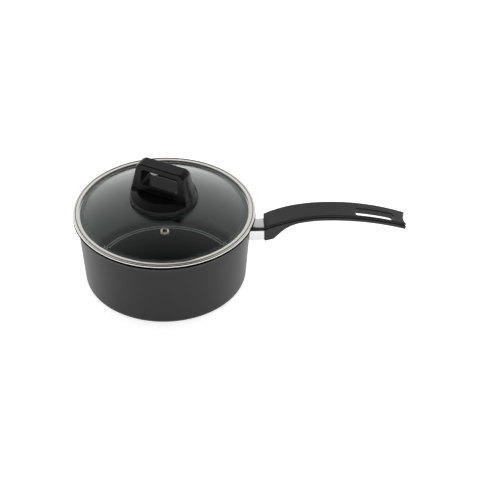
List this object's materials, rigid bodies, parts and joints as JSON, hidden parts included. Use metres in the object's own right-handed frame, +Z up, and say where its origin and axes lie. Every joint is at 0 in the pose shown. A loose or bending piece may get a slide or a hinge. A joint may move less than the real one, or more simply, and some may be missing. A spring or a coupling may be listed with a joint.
{
  "type": "saucepan with glass lid",
  "caption": "Saucepan with an arched side handle and a domed glass lid that lifts off by its bar knob.",
  "frame": {"origin": "centre of the pan's flat underside", "axes": "+Z up through the lid's knob, +X along the handle towards its hanging end"},
  "size_m": [0.3377, 0.1846, 0.1353],
  "materials": {
    "pan_coating": "dark matt non-stick coating on pressed aluminium",
    "base_steel": "turned",
    "stud_alloy": "as cast",
    "guard_steel": "polished",
    "grip_plastic": "satin moulded heat-proof plastic",
    "screw_steel": "plated steel",
    "lid_glass": "clear tempered",
    "band_steel": "polished stainless steel",
    "knob_plastic": "satin moulded heat-proof plastic",
    "insert_brass": "turned",
    "gasket_silicone": "soft silicone"
  },
  "bodies": {
    "pan": {"pan_body": "pan_coating", "base_plate": "base_steel", "handle_stud": "stud_alloy", "flame_guard": "guard_steel", "handle_grip": "grip_plastic", "handle_screw": "screw_steel", "lock_washer": "screw_steel"},
    "lid": {"glass_lid": "lid_glass", "rim_band": "band_steel", "vent_eyelet": "band_steel", "vent_washer": "screw_steel", "knob": "knob_plastic", "knob_insert": "insert_brass", "knob_gasket": "gasket_silicone", "screw_bush": "gasket_silicone", "cup_washer": "screw_steel", "knob_screw": "screw_steel"}
  },
  "joints": [
    {"name": "lid_lift", "type": "slide", "parent": "pan", "child": "lid", "axis": [0, 0, 1], "range_m": [0, 0.12]}
  ]
}
